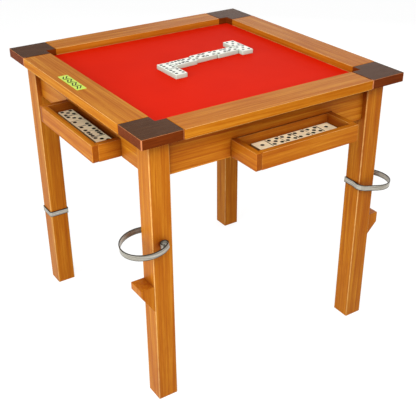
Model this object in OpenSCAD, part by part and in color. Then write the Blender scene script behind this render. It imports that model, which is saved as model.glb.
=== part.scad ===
// Square domino table with a sunk playing surface, four hand drawers and four glass clips on its legs.
// Millimetres, +Z up. The origin is on the floor under the middle of the table. Front is -Y, left is -X.

/* [Table] */
// Outside width of the square top
table_side = 760; // [700:5:900]
// Height from the floor to the top of the frame
table_height = 750; // [700:5:780]

/* [Top frame] */
// Width of the four rails and of the corner blocks
rail_width = 78; // [70:1:90]
// Thickness of the rails and corner blocks
rail_thickness = 24; // [20:1:30]
// Length of each arm of a corner block, measured from the table's corner
block_arm = 106; // [100:1:125]
// Depth of the playing surface below the frame's top
well_depth = 19; // [15:0.5:19]
// Thickness of the red playing sheet
sheet_thickness = 1; // [0.8:0.1:1.5]
// How far the playing board reaches under the rails
board_lap = 12; // [9:1:14]
// Diameter of the dowels between rails and corner blocks
frame_dowel_d = 8; // [6:1:10]
// Length of those dowels
frame_dowel_l = 40; // [30:2:50]
// Distance between the two dowels of one joint
frame_dowel_pitch = 36; // [30:1:40]

/* [Name plate] */
// Length of the blank plate on the left rail
plate_length = 116; // [80:1:130]
// Width of the plate
plate_width = 26; // [20:1:34]
// Thickness of the plate
plate_thickness = 0.6; // [0.4:0.1:1]
// Distance of the plate's middle from the table's middle, towards the back
plate_shift = 24; // [0:1:60]
// Distance of the plate from the table's outer edge
plate_margin = 16; // [10:1:26]

/* [Legs] */
// Side of a leg's square section
leg_section = 54; // [52:1:64]
// Distance from the table's edge to a leg's outer face
leg_inset = 33; // [24:1:40]
// Radius of the eased long edges of a leg
leg_arris = 3; // [2:0.5:5]
// Diameter of the dowel that holds the frame on each leg
leg_dowel_d = 12; // [8:1:14]
// Length of the leg dowel
leg_dowel_l = 52; // [40:2:60]

/* [Aprons] */
// Height of an apron
apron_height = 100; // [90:1:120]
// Thickness of an apron
apron_thickness = 18; // [15:1:22]
// Distance from a leg's outer face back to the apron's face
apron_setback = 15; // [8:1:18]
// Length of the tenon at each end of an apron
tenon_length = 18; // [12:1:18]
// Thickness of the tenon
tenon_thickness = 8; // [6:1:9]
// Shoulder above and below the tenon
tenon_shoulder = 12; // [8:1:16]

/* [Inside the top] */
// Distance of a board bearer's middle from the table's middle
bearer_offset = 150; // [135:1:165]
// Width of a board bearer
bearer_width = 18; // [14:1:24]
// Height of a board bearer
bearer_height = 40; // [34:1:44]
// Depth of the housing that a bearer's end sits in
bearer_housing = 6; // [4:1:9]
// Length of a corner brace along each apron, past the leg
brace_reach = 58; // [45:1:75]
// Height of a corner brace
brace_height = 84; // [60:1:86]
// Shank diameter of the brace screws
screw_d = 4.5; // [4:0.5:6]
// Head diameter of the brace screws
screw_head_d = 9; // [8:0.5:11]
// Head height of the brace screws
screw_head_h = 3; // [2:0.5:4]
// Depth of a brace screw in the apron
screw_bite = 13; // [9:1:14]

/* [Drawers] */
// Outside width of a drawer
drawer_width = 306; // [285:1:320]
// Outside height of a drawer
drawer_height = 44; // [38:1:50]
// Distance of a drawer's middle from the table's middle, to its player's right
drawer_shift = 34; // [10:1:45]
// Thickness of the drawer's front and sides
drawer_wall = 15; // [12:1:18]
// Thickness of the drawer's back
drawer_back = 12; // [9:1:15]
// Clear depth of the drawer from front to back
drawer_clear = 82; // [70:1:88]
// Thickness of the drawer's bottom
drawer_floor = 4; // [3:0.5:6]
// Height of the bottom's underside above the drawer's lowest edge
floor_rise = 6; // [4:0.5:9]
// Depth of the grooves that hold the bottom
floor_groove = 5; // [4:0.5:7]
// How far a drawer runs out before its stop
drawer_travel = 100; // [90:1:108]
// How far the front and back drawers stand out at rest
pull_front = 100; // [0:1:100]
// How far the left and right drawers stand out at rest
pull_side = 74; // [0:1:90]
// Thickness of the stop bar between the drawer's ears
stop_thickness = 14; // [10:1:18]
// How far the stop bar stands above the drawer's sides
stop_rise = 13; // [9:0.5:13]
// Sideways clearance between a drawer and its guides
drawer_side_gap = 0.5; // [0.4:0.1:0.9]
// Gap between a drawer and the guide under and over it
drawer_gap = 0.3; // [0.3:0.05:0.6]
// Gap between a drawer and the edge of its apron opening
notch_gap = 1.5; // [1:0.1:3]
// Height of the drawer's lowest edge above the apron's lower edge
drawer_lift = 1; // [0.5:0.5:3]

/* [Drawer guides] */
// Thickness of a guide's foot, under the drawer
guide_foot = 8; // [6:0.5:10]
// Thickness of a guide's wall, beside the drawer
guide_web = 10; // [8:1:14]
// How far the foot and lip reach over the drawer's side
guide_reach = 12; // [8:1:12]

/* [Dominoes] */
// Length of a tile in the drawers
tile_length = 78; // [70:1:80]
// Width of a tile in the drawers
tile_width = 42; // [35:1:46]
// Length of a tile in play
played_length = 72; // [64:1:80]
// Width of a tile in play
played_width = 36; // [32:1:40]
// Length of the two tiles in play that lie crosswise
cross_length = 100; // [64:1:110]
// Thickness of a tile
tile_thickness = 12; // [8:0.5:14]
// Corner radius of a tile
tile_corner = 3; // [2:0.5:5]
// Gap between neighbouring tiles
tile_gap = 0.6; // [0.4:0.1:1]
// Turn of the played line against the front edge, in degrees
line_turn = 4; // [0:1:9]
// Turn of the crosswise end tiles against the table's sides, in degrees
cross_turn = 0; // [-4:1:4]

/* [Glass clips] */
// Radius of the loop, to the middle of the strip
loop_radius = 59; // [52:1:66]
// Height of the steel strip
strip_height = 16; // [12:1:20]
// Thickness of the steel strip
strip_thickness = 2.5; // [2:0.25:3]
// Outside radius of the curl at the loop's end
curl_radius = 10.5; // [8:0.5:12.5]
// Distance of the curl's middle from the leg's middle, towards the loop
curl_shift = 1; // [-5:0.5:6]
// Bend radius where the strip turns round the leg, to the middle of the strip
bend_radius = 22; // [16:0.5:24]
// Angle at which the strip lifts off the leg before that bend
lift_angle = 22; // [10:1:28]
// Radius of the curve with which the strip lifts off the leg
lift_radius = 30; // [20:1:40]
// Slope of a clip, from the loop's low far end up to the tail
clip_tilt = 6; // [0:0.5:8]
// Gap between the strip and the leg
clip_gap = 0.3; // [0.25:0.05:0.5]
// Opening left in the closed band
band_slit = 6; // [3:1:12]
// Height of the front left clip above the floor, to the strip's middle
clip_front_left_z = 461; // [420:1:560]
// Height of the front right clip
clip_front_right_z = 429; // [390:1:560]
// Height of the back right clip
clip_back_right_z = 455; // [400:1:560]
// Height of the band on the back left leg
band_back_left_z = 248; // [100:1:560]

/* [Glass brackets] */
// Height of the left bracket's top above the floor
left_bracket_top = 350; // [300:1:370]
// How far the left bracket stands out from its leg
left_bracket_depth = 35; // [30:1:50]
// Height of the left bracket against its leg
left_bracket_height = 72; // [60:1:90]
// Height of the left bracket's front edge
left_bracket_nose = 19; // [14:1:30]
// Height of the right brackets' top above the floor
right_bracket_top = 329; // [280:1:350]
// How far the right brackets stand out from their legs
right_bracket_depth = 30; // [26:1:50]
// Height of the right brackets against their legs
right_bracket_height = 62; // [50:1:90]
// Height of the right brackets' front edge
right_bracket_nose = 30; // [14:1:36]
// How far a bracket stays inside the leg's sides
bracket_margin = 2; // [1:0.5:5]
// Diameter of the dowels behind a bracket
bracket_dowel_d = 8; // [6:1:10]
// Depth of a bracket dowel in the bracket, and in the leg
bracket_dowel_l = 14; // [10:1:16]
// Distance between a bracket's two dowels
bracket_dowel_pitch = 26; // [20:1:30]

/* [Hidden] */

wood = "peru";
dark_wood = "#5a4230";
tile_white = "ivory";
steel = "silver";
$fn = 48;

// Quarter turns that carry the front side to each side of the table
FRONT = 0;
RIGHT = 90;
BACK = 180;
LEFT = 270;
SIDES = [FRONT, RIGHT, BACK, LEFT];

// Levels and planes
half_side = table_side / 2;
frame_z = table_height - rail_thickness;
well_z = table_height - well_depth;
board_thickness = well_z - sheet_thickness - frame_z;
inner_half = half_side - rail_width;
board_clearance = 0.5;
board_half = inner_half + board_lap - board_clearance;
leg_outer = half_side - leg_inset;
leg_inner = leg_outer - leg_section;
leg_centre = leg_outer - leg_section / 2;
apron_outer = leg_outer - apron_setback;
apron_inner = apron_outer - apron_thickness;
apron_z = frame_z - apron_height;
mortise_clearance = 1;
dowel_clearance = 1;

// Drawer levels and places, for the front drawer pushed in
drawer_z = apron_z + drawer_lift;
drawer_top = drawer_z + drawer_height;
drawer_x0 = drawer_shift - drawer_width / 2;
drawer_x1 = drawer_shift + drawer_width / 2;
face_y0 = -apron_outer;
face_y1 = face_y0 + drawer_wall;
back_y0 = face_y1 + drawer_clear;
back_y1 = back_y0 + drawer_back;
stop_y0 = -apron_inner + drawer_travel + drawer_gap;
stop_y1 = stop_y0 + stop_thickness;
stop_z0 = drawer_z + drawer_height * 0.4;
floor_z = drawer_z + floor_rise;
floor_top = floor_z + drawer_floor;
groove_clearance = 0.5;

// Bearers and guides
bearer_z = frame_z - bearer_height;
guide_end = -bearer_offset + bearer_width / 2;
guide_z = drawer_z - drawer_gap - guide_foot;

// Corner braces
brace_z = frame_z - brace_height;
brace_leg = leg_inner - brace_reach;
screw_x = (apron_inner + brace_leg) / 2 - screw_head_d;
screw_seat = brace_leg + apron_inner - screw_x + screw_head_d;
screw_z = brace_z + brace_height / 2;
screw_clearance = 0.05;

// Loop of a glass clip, seen from above, with the leg's middle at 0,0 and the loop towards -X
leg_half = leg_section / 2;
strip_half = strip_thickness / 2;
curl_mid = curl_radius - strip_half;
curl_y = -leg_half - clip_gap - curl_radius;
loop_x = -curl_shift - sqrt(pow(loop_radius - curl_mid, 2) - pow(curl_y, 2));
curl_start = atan2(curl_y, -curl_shift - loop_x);
tail_x = leg_half + clip_gap + (strip_half + strip_height * sin(clip_tilt) / 2) / cos(clip_tilt);
clip_level_x = -40;
tail_cut = 10;
bend_x = tail_x + lift_radius * (1 - cos(lift_angle)) - bend_radius * cos(lift_angle);
bend_y = leg_half - 2;
lift_y = bend_y - (lift_radius + bend_radius) * sin(lift_angle);
bend_reach = norm([bend_x - loop_x, bend_y]);
bend_angle = atan2(bend_y, bend_x - loop_x) + acos((loop_radius - bend_radius) / bend_reach);
curl_sweep = 300;
band_bend = leg_arris + clip_gap + strip_half;

// Tiles lying in a drawer; a row's place is -1 at the drawer's left side, 0 in its middle and 1 at its right
row_tiles = 3;
row_slack = (drawer_width - 2 * drawer_wall - row_tiles * (tile_length + tile_gap) - tile_gap) / 2;
row_place_front = 0.8;
row_place_left = -0.9;
row_place_hidden = 0;
row_gap_left = 16;
row_gap = 3;

// Tiles in play: the middle of the line, and how far each tile lies off its middle line
played_x = 46;
played_y = 39;
cross_slip_left = -36;
cross_slip_right = 12;
line_slips = [-4, 3, 0];
cross_skew = abs(line_turn - cross_turn);

// A box given by its two opposite corners
module span(low, high) {
    translate(low) cube(high - low);
}

// A rounded rectangle standing on the floor, made of exact arcs
module rounded_block(length, width, height, radius) {
    translate([-length / 2, -width / 2 + radius, 0]) cube([length, width - 2 * radius, height]);
    translate([-length / 2 + radius, -width / 2, 0]) cube([length - 2 * radius, width, height]);
    for (x = [-1, 1], y = [-1, 1])
        translate([x * (length / 2 - radius), y * (width / 2 - radius), 0])
            cylinder(r = radius, h = height);
}

// An upright arc of strip about the origin, from one angle to another
module strip_arc(radius, start, sweep) {
    rotate([0, 0, start])
        rotate_extrude(angle = sweep, $fn = 96)
            translate([radius - strip_half, 0]) square([strip_thickness, strip_height]);
}

// Turns the children into one corner of the table: [-1, -1] is the front left corner
module at_corner(corner) {
    translate([corner.x * leg_centre, corner.y * leg_centre, 0]) children();
}

CORNERS = [[-1, -1], [1, -1], [1, 1], [-1, 1]];

// The square hole that the playing board and its sheet fill, under the frame's inner edge
module board_rebate() {
    half = inner_half + board_lap;
    span([-half, -half, frame_z - 1], [half, half, well_z]);
}

// Dowels across the eight joints of the top frame, for one side: both ends of its rail
module side_frame_dowels(extra_length = 0) {
    for (end = [-1, 1], y = [-1, 1])
        translate([end * (half_side - block_arm), -half_side + rail_width / 2 + y * frame_dowel_pitch / 2,
                   frame_z + rail_thickness * 0.6])
            rotate([0, 90, 0])
                cylinder(d = frame_dowel_d, h = frame_dowel_l + extra_length, center = true);
}

module frame_dowel_set(extra_length = 0) {
    for (side = SIDES) rotate([0, 0, side]) side_frame_dowels(extra_length);
}

module leg_top_dowel_set(extra_length = 0) {
    for (corner = CORNERS)
        at_corner(corner)
            translate([0, 0, table_height - 6 - leg_dowel_l - extra_length / 2])
                cylinder(d = leg_dowel_d, h = leg_dowel_l + extra_length);
}

// One rail of the top frame, along the front
module rail(side) {
    color(wood) rotate([0, 0, side])
        difference() {
            span([-half_side + block_arm, -half_side, frame_z],
                 [half_side - block_arm, -inner_half, table_height]);
            board_rebate();
            side_frame_dowels(dowel_clearance);
        }
}

// One dark L-shaped corner block, on the front left corner
module corner_block(side) {
    color(dark_wood) rotate([0, 0, side])
        difference() {
            union() {
                span([-half_side, -half_side, frame_z], [-half_side + block_arm, -inner_half, table_height]);
                span([-half_side, -inner_half, frame_z], [-inner_half, -half_side + block_arm, table_height]);
            }
            board_rebate();
            frame_dowel_set(dowel_clearance);
            leg_top_dowel_set(dowel_clearance);
        }
}

module frame_dowels() {
    color("burlywood") frame_dowel_set();
}

module leg_top_dowels() {
    color("burlywood") leg_top_dowel_set();
}

module playing_board() {
    color("burlywood")
        span([-board_half, -board_half, frame_z], [board_half, board_half, frame_z + board_thickness]);
}

module red_playing_sheet() {
    color("red") span([-board_half, -board_half, well_z - sheet_thickness], [board_half, board_half, well_z]);
}

module name_plate() {
    color("greenyellow")
        translate([-half_side + plate_margin + plate_width / 2, plate_shift, table_height])
            rounded_block(plate_width, plate_length, plate_thickness, 2);
}

// The mortises that take the tenons of the two aprons at a corner
module mortises() {
    for (side = SIDES)
        rotate([0, 0, side]) apron_tenons(mortise_clearance);
}

module leg(corner) {
    color(wood)
        difference() {
            at_corner(corner) rounded_block(leg_section, leg_section, frame_z, leg_arris);
            mortises();
            leg_top_dowel_set(dowel_clearance);
            bracket_dowel_set(dowel_clearance);
        }
}

// The tenons at both ends of the front apron
module apron_tenons(extra_length = 0) {
    middle = -apron_outer + apron_thickness / 2;
    reach = leg_inner + tenon_length + extra_length;
    for (end = [-1, 1])
        span([end > 0 ? leg_inner : -reach, middle - tenon_thickness / 2, apron_z + tenon_shoulder],
             [end > 0 ? reach : -leg_inner, middle + tenon_thickness / 2, frame_z - tenon_shoulder]);
}

// One apron, on the front side, with the opening for its drawer cut up from its lower edge
module apron(side) {
    color(wood) rotate([0, 0, side]) {
        difference() {
            span([-leg_inner, -apron_outer, apron_z], [leg_inner, -apron_inner, frame_z]);
            span([drawer_x0 - notch_gap, -apron_outer - 1, apron_z - 1],
                 [drawer_x1 + notch_gap, -apron_inner + 1, drawer_top + notch_gap]);
            for (turn = [0, 90]) rotate([0, 0, turn]) bearer_bars(0);
            rotate([0, 0, -side]) brace_screw_set(0);
        }
        apron_tenons();
    }
}

// One corner brace, glued into the front left corner and notched round the leg
module corner_brace() {
    rotate([0, 0, 180]) translate([0, 0, brace_z])
        linear_extrude(height = brace_height)
            polygon([[apron_inner, leg_inner], [apron_inner, brace_leg], [brace_leg, apron_inner],
                     [leg_inner, apron_inner], [leg_inner, leg_inner]]);
}

// Two screws through each brace, square to the aprons, with their heads in counterbores
module brace_screw_pair(clearance = 0) {
    for (flip = [0, 1])
        mirror([flip, -flip, 0])
            translate([-screw_x, 0, screw_z]) rotate([90, 0, 0]) {
                translate([0, 0, screw_seat])
                    cylinder(d = screw_d + 2 * clearance,
                             h = apron_inner + screw_bite - screw_seat + clearance);
                translate([0, 0, screw_seat - screw_head_h])
                    cylinder(d = screw_head_d + 2 * clearance, h = screw_head_h);
            }
}

module brace_screw_set(clearance = 0) {
    for (side = SIDES) rotate([0, 0, side]) brace_screw_pair(clearance);
}

// The bore that lets each screw head in from the brace's long face
module brace_counterbores() {
    for (flip = [0, 1])
        mirror([flip, -flip, 0])
            translate([-screw_x, 0, screw_z]) rotate([90, 0, 0])
                translate([0, 0, brace_leg])
                    cylinder(d = screw_head_d + 2 * screw_clearance, h = screw_seat - brace_leg);
}

module corner_braces() {
    color(wood) for (side = SIDES)
        rotate([0, 0, side])
            difference() {
                corner_brace();
                brace_screw_pair(screw_clearance);
                brace_counterbores();
            }
}

module brace_screws() {
    color(steel) brace_screw_set();
}

// The two bars that run across the table under the playing board, before they are halved
module bearer_bars(end_clearance = 0) {
    reach = apron_inner + bearer_housing - end_clearance;
    for (y = [-1, 1])
        span([-reach, y * bearer_offset - bearer_width / 2, bearer_z],
             [reach, y * bearer_offset + bearer_width / 2, frame_z]);
}

// Room at the crossings: the upper half is taken from the bars across, the lower from those along
module bearer_crossings(low, high) {
    for (x = [-1, 1], y = [-1, 1])
        span([x * bearer_offset - bearer_width / 2, y * bearer_offset - bearer_width / 2, low],
             [x * bearer_offset + bearer_width / 2, y * bearer_offset + bearer_width / 2, high]);
}

module board_bearers_across() {
    color(wood) difference() {
        bearer_bars();
        bearer_crossings(bearer_z + bearer_height / 2, frame_z + 1);
    }
}

module board_bearers_along() {
    color(wood) difference() {
        rotate([0, 0, 90]) bearer_bars();
        bearer_crossings(bearer_z - 1, bearer_z + bearer_height / 2);
    }
}

// The channel that carries the right side of the front drawer; the left one is its mirror image
module drawer_guide() {
    wall_x = drawer_x1 + drawer_side_gap;
    difference() {
        span([wall_x - guide_reach, -apron_inner, guide_z], [wall_x + guide_web, guide_end, bearer_z]);
        span([wall_x - guide_reach - 1, -apron_inner - 1, drawer_z - drawer_gap],
             [wall_x, guide_end + 1, drawer_top + drawer_gap]);
    }
}

module drawer_guides(side) {
    color(wood) rotate([0, 0, side]) {
        drawer_guide();
        translate([2 * drawer_shift, 0, 0]) mirror([1, 0, 0]) drawer_guide();
    }
}

// Moves a piece of the front drawer to its side of the table and pulls it out
module in_drawer(side, pull) {
    rotate([0, 0, side]) translate([0, -pull, 0]) children();
}

// The panel that slides into the grooves of the front and sides
module floor_panel(extra = 0) {
    span([drawer_x0 + drawer_wall - floor_groove - extra, face_y1 - floor_groove - extra, floor_z],
         [drawer_x1 - drawer_wall + floor_groove + extra, back_y1, floor_top]);
}

module drawer_face(side, pull) {
    color(wood) in_drawer(side, pull)
        difference() {
            span([drawer_x0 + drawer_wall, face_y0, drawer_z], [drawer_x1, face_y1, drawer_top]);
            floor_panel(groove_clearance);
        }
}

module drawer_sides(side, pull) {
    color(wood) in_drawer(side, pull)
        difference() {
            union() {
                span([drawer_x0, face_y0, drawer_z], [drawer_x0 + drawer_wall, stop_y1, drawer_top]);
                span([drawer_x1 - drawer_wall, face_y1, drawer_z], [drawer_x1, stop_y1, drawer_top]);
            }
            floor_panel(groove_clearance);
        }
}

module drawer_back_and_stop(side, pull) {
    color(wood) in_drawer(side, pull) {
        span([drawer_x0 + drawer_wall, back_y0, floor_top], [drawer_x1 - drawer_wall, back_y1, drawer_top]);
        span([drawer_x0 + drawer_wall, stop_y0, stop_z0],
             [drawer_x1 - drawer_wall, stop_y1, drawer_top + stop_rise]);
    }
}

module drawer_bottom(side, pull) {
    color("burlywood") in_drawer(side, pull) floor_panel();
}

module tile(length, width) {
    rounded_block(length, width, tile_thickness, tile_corner);
}

// A row of tiles laid end to end on the drawer's bottom
module drawer_tiles(side, pull, row_place, back_gap) {
    color(tile_white) in_drawer(side, pull)
        for (i = [0:row_tiles - 1])
            translate([drawer_shift + row_place * row_slack
                       + (i - (row_tiles - 1) / 2) * (tile_length + tile_gap),
                       back_y0 - back_gap - tile_width / 2, floor_top])
                tile(tile_length, tile_width);
}

// The played line: a row of tiles end to end, and a tile across each end that just clears the row's corner
module played_tiles() {
    pitch = played_length + tile_gap;
    count = len(line_slips);
    corner_y = played_width / 2 + max([for (slip = line_slips) abs(slip)]);
    end_x = count * pitch / 2 + played_width / 2 / cos(cross_skew);
    color(tile_white)
        translate([played_x, played_y, well_z]) rotate([0, 0, line_turn]) {
            for (i = [0:count - 1])
                translate([(i - (count - 1) / 2) * pitch, line_slips[i], 0])
                    tile(played_length, played_width);
            for (end = [-1, 1]) {
                slip = end < 0 ? cross_slip_left : cross_slip_right;
                skew_room = (corner_y + abs(slip)) * tan(cross_skew);
                translate([end * (end_x + skew_room), slip, 0])
                    rotate([0, 0, 90 + cross_turn - line_turn])
                        tile(cross_length, played_width);
            }
        }
}

// Points along an arc, in a given number of steps
function arc_points(centre, radius, start, sweep, steps) =
    [for (i = [0:steps]) centre + radius * [cos(start + sweep * i / steps), sin(start + sweep * i / steps)]];

// One face of a clip's strip, at a distance outside its middle line: tail, lift, bend, loop and curl
function clip_face(distance, tail_y) = concat(
    [[tail_x + distance, tail_y]],
    arc_points([tail_x + lift_radius, lift_y], lift_radius - distance, 180, -lift_angle, 3),
    arc_points([bend_x, bend_y], bend_radius + distance, -lift_angle, bend_angle + lift_angle, 8),
    arc_points([loop_x, 0], loop_radius + distance, bend_angle, 355 + curl_start - bend_angle, 48),
    arc_points([-curl_shift, curl_y], curl_mid + distance, curl_start, curl_sweep, 20)
);

// A list in the opposite order
function reversed(points) = [for (i = [len(points) - 1:-1:0]) points[i]];

// A clip round a leg: the strip runs along the inner face, round the far edge, out as a loop and into a curl.
// It slopes about its tail; its height is taken at a point between the leg and the loop's far end.
module glass_clip(corner, outward, height, tail_short = 0) {
    tail_y = tail_short - leg_half;
    color(steel) at_corner(corner)
        rotate([0, 0, outward < 0 ? 0 : 180])
            translate([tail_x, 0, height + (tail_x - clip_level_x) * sin(clip_tilt)])
                rotate([0, -clip_tilt, 0])
                    translate([-tail_x, 0, -strip_height / 2])
                        linear_extrude(height = strip_height)
                            polygon(concat(clip_face(strip_half, tail_y),
                                           reversed(clip_face(-strip_half, tail_y))));
}

// The band that lies close round the back left leg, with its slit on the inner face
module leg_band(corner, height) {
    reach = leg_half + clip_gap + strip_half;
    straight = reach - band_bend;
    color(steel) at_corner(corner)
        translate([0, 0, height - strip_height / 2])
            difference() {
                for (turn = [0, 90, 180, 270])
                    rotate([0, 0, turn]) {
                        span([reach - strip_half, -straight, 0],
                             [reach + strip_half, straight, strip_height]);
                        translate([straight, straight, 0]) strip_arc(band_bend, 0, 90);
                    }
                span([reach - strip_thickness, -band_slit / 2, -1],
                     [reach + strip_thickness, band_slit / 2, strip_height + 1]);
            }
}

// The legs that carry a bracket: corner, side of the leg, top, depth, height and front edge of the bracket
LEFT_BRACKET = [left_bracket_top, left_bracket_depth, left_bracket_height, left_bracket_nose];
RIGHT_BRACKET = [right_bracket_top, right_bracket_depth, right_bracket_height, right_bracket_nose];
HOLDERS = [[[-1, -1], -1, LEFT_BRACKET], [[1, -1], 1, RIGHT_BRACKET], [[1, 1], 1, RIGHT_BRACKET]];

// A bracket under a glass clip, on the leg's outer face, with a sloping underside
module glass_bracket(holder) {
    width = leg_section - 2 * bracket_margin;
    top = holder[2][0];
    depth = holder[2][1];
    color(wood)
        difference() {
            at_corner(holder[0])
                rotate([0, 0, holder[1] < 0 ? 0 : 180])
                    translate([-leg_half, width / 2, top]) rotate([90, 0, 0])
                        linear_extrude(height = width)
                            polygon([[0, 0], [-depth, 0], [-depth, -holder[2][3]], [0, -holder[2][2]]]);
            bracket_dowel_set(dowel_clearance);
        }
}

// Two dowels behind each bracket, half in the leg and half in the bracket
module bracket_dowel_set(extra_length = 0) {
    for (holder = HOLDERS)
        at_corner(holder[0])
            for (y = [-1, 1])
                translate([holder[1] * leg_half, y * bracket_dowel_pitch / 2,
                           holder[2][0] - holder[2][2] / 3])
                    rotate([0, 90, 0])
                        cylinder(d = bracket_dowel_d, h = 2 * bracket_dowel_l + extra_length, center = true);
}

module bracket_dowels() {
    color("burlywood") bracket_dowel_set();
}

rail(FRONT);  // rail_front
rail(RIGHT);  // rail_right
rail(BACK);  // rail_back
rail(LEFT);  // rail_left
corner_block(FRONT);  // corner_block_front_left
corner_block(RIGHT);  // corner_block_front_right
corner_block(BACK);  // corner_block_back_right
corner_block(LEFT);  // corner_block_back_left
frame_dowels();
leg_top_dowels();
playing_board();
red_playing_sheet();
name_plate();
leg([-1, -1]);  // leg_front_left
leg([1, -1]);  // leg_front_right
leg([1, 1]);  // leg_back_right
leg([-1, 1]);  // leg_back_left
apron(FRONT);  // apron_front
apron(RIGHT);  // apron_right
apron(BACK);  // apron_back
apron(LEFT);  // apron_left
corner_braces();
brace_screws();
board_bearers_across();
board_bearers_along();
drawer_guides(FRONT);  // drawer_guides_front
drawer_guides(RIGHT);  // drawer_guides_right
drawer_guides(BACK);  // drawer_guides_back
drawer_guides(LEFT);  // drawer_guides_left
drawer_face(FRONT, pull_front);  // front_drawer_face
drawer_sides(FRONT, pull_front);  // front_drawer_sides
drawer_back_and_stop(FRONT, pull_front);  // front_drawer_back_and_stop
drawer_bottom(FRONT, pull_front);  // front_drawer_bottom
drawer_tiles(FRONT, pull_front, row_place_front, row_gap);  // front_drawer_tiles
drawer_face(RIGHT, pull_side);  // right_drawer_face
drawer_sides(RIGHT, pull_side);  // right_drawer_sides
drawer_back_and_stop(RIGHT, pull_side);  // right_drawer_back_and_stop
drawer_bottom(RIGHT, pull_side);  // right_drawer_bottom
drawer_tiles(RIGHT, pull_side, row_place_hidden, row_gap);  // right_drawer_tiles
drawer_face(BACK, pull_front);  // back_drawer_face
drawer_sides(BACK, pull_front);  // back_drawer_sides
drawer_back_and_stop(BACK, pull_front);  // back_drawer_back_and_stop
drawer_bottom(BACK, pull_front);  // back_drawer_bottom
drawer_tiles(BACK, pull_front, row_place_hidden, row_gap);  // back_drawer_tiles
drawer_face(LEFT, pull_side);  // left_drawer_face
drawer_sides(LEFT, pull_side);  // left_drawer_sides
drawer_back_and_stop(LEFT, pull_side);  // left_drawer_back_and_stop
drawer_bottom(LEFT, pull_side);  // left_drawer_bottom
drawer_tiles(LEFT, pull_side, row_place_left, row_gap_left);  // left_drawer_tiles
played_tiles();
glass_clip([-1, -1], -1, clip_front_left_z, tail_cut);  // glass_clip_front_left
glass_clip([1, -1], 1, clip_front_right_z);  // glass_clip_front_right
glass_clip([1, 1], 1, clip_back_right_z);  // glass_clip_back_right
leg_band([-1, 1], band_back_left_z);  // leg_band_back_left
glass_bracket(HOLDERS[0]);  // glass_bracket_front_left
glass_bracket(HOLDERS[1]);  // glass_bracket_front_right
glass_bracket(HOLDERS[2]);  // glass_bracket_back_right
bracket_dowels();
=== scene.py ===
"""Looks of a square domino table of varnished wood with a red playing field and steel glass clips.

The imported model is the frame. Metres, +Z up, front is -Y, left is -X, the middle of the table at 0, 0.
"""

import math

import bmesh
import bpy
from bpy.props import FloatProperty, FloatVectorProperty, PointerProperty
from mathutils import Matrix, Vector


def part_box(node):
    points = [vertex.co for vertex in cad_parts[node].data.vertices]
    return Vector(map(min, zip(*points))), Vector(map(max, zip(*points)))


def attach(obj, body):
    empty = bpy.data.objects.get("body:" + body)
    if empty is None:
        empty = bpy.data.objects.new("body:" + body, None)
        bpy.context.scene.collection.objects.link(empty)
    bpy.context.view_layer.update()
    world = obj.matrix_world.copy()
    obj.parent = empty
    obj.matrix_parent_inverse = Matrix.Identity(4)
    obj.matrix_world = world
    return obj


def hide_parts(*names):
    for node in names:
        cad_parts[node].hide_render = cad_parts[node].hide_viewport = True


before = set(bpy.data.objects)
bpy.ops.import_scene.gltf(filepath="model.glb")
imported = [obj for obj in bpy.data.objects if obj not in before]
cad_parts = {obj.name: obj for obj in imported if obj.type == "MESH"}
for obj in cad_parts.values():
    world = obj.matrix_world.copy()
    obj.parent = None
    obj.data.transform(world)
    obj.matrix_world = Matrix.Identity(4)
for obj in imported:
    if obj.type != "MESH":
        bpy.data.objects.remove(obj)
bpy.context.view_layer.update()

bl_info = {
    "name": "Domino table",
    "version": (1, 0, 0),
    "blender": (4, 5, 0),
    "location": "View3D > Sidebar > Domino table",
    "description": "Dresses a domino table with wood, steel, a red field and tiles",
    "category": "Object",
}

SIDES = ("front", "right", "back", "left")
CORNERS = ("front_left", "front_right", "back_right", "back_left")
CLIP_CORNERS = CORNERS[:3]

# Turns of the wood pattern that lay its grain along an axis
GRAIN_TURN = {"x": (0.0, 0.0, 0.0), "y": (0.0, 0.0, math.pi / 2), "z": (0.0, math.pi / 2, 0.0)}

# The span that holds most of a noise's values
NOISE_SPAN = (0.3, 0.7)

# Corners closer than this are one corner
SAME_CORNER = 0.00001


def shade(red, green, blue):
    """A colour as seen on a screen, 0 to 255, turned into Blender's linear values."""
    def linear(value):
        value /= 255
        return value / 12.92 if value <= 0.04045 else ((value + 0.055) / 1.055) ** 2.4
    return (linear(red), linear(green), linear(blue))


def colour(name, description, value):
    return FloatVectorProperty(name=name, description=description, subtype="COLOR", size=3,
                               min=0.0, max=1.0, default=value)


def length(name, description, value):
    return FloatProperty(name=name, description=description, unit="LENGTH", subtype="DISTANCE",
                         min=0.0, precision=5, default=value)


def standing_place(name, description, value):
    return FloatVectorProperty(name=name, description=description, subtype="TRANSLATION",
                               unit="LENGTH", size=3, default=value)


def turn(name, description, value):
    return FloatProperty(name=name, description=description, subtype="ANGLE", default=value)


def lamp_power(name, description, value):
    return FloatProperty(name=name, description=description, unit="POWER", min=0.0, default=value)


class WoodSettings(bpy.types.PropertyGroup):
    light: colour("Light streaks", "Varnished wood between the grain lines", shade(201, 131, 34))
    middle: colour("Wood", "Most of the varnished wood", shade(173, 96, 14))
    dark: colour("Dark streaks", "Dense grain of the varnished wood", shade(146, 65, 9))
    # Worn edges: stain rubbed thin, made lighter still as a painted highlight along the edges
    worn_and_highlit: colour("Worn edges", "Edges where the stain is rubbed thin", shade(231, 186, 119))
    end_grain: colour("End grain", "Wood cut across the grain", shade(132, 61, 8))
    # Painted shade: the dark colour laid over the wood in corners and under overhanging edges
    hollow: colour("Hollows", "Varnished wood in corners and under edges", shade(96, 22, 2))
    inside: colour("Bare wood", "Unstained wood under the top", shade(186, 150, 104))
    inside_dark: colour("Bare wood grain", "Grain of the unstained wood", shade(152, 110, 68))
    streak_width: length("Streak width", "Distance between grain streaks", 0.0048)
    streak_length: length("Streak length", "Length of a grain streak", 0.24)
    # How far the painted shade in corners and under edges reaches
    painted_shade_reach: length("Hollow reach", "How far a corner or an edge darkens the wood near it", 0.07)
    edge_round: length("Eased edges", "Radius of the sanded edges", 0.0022)


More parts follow.
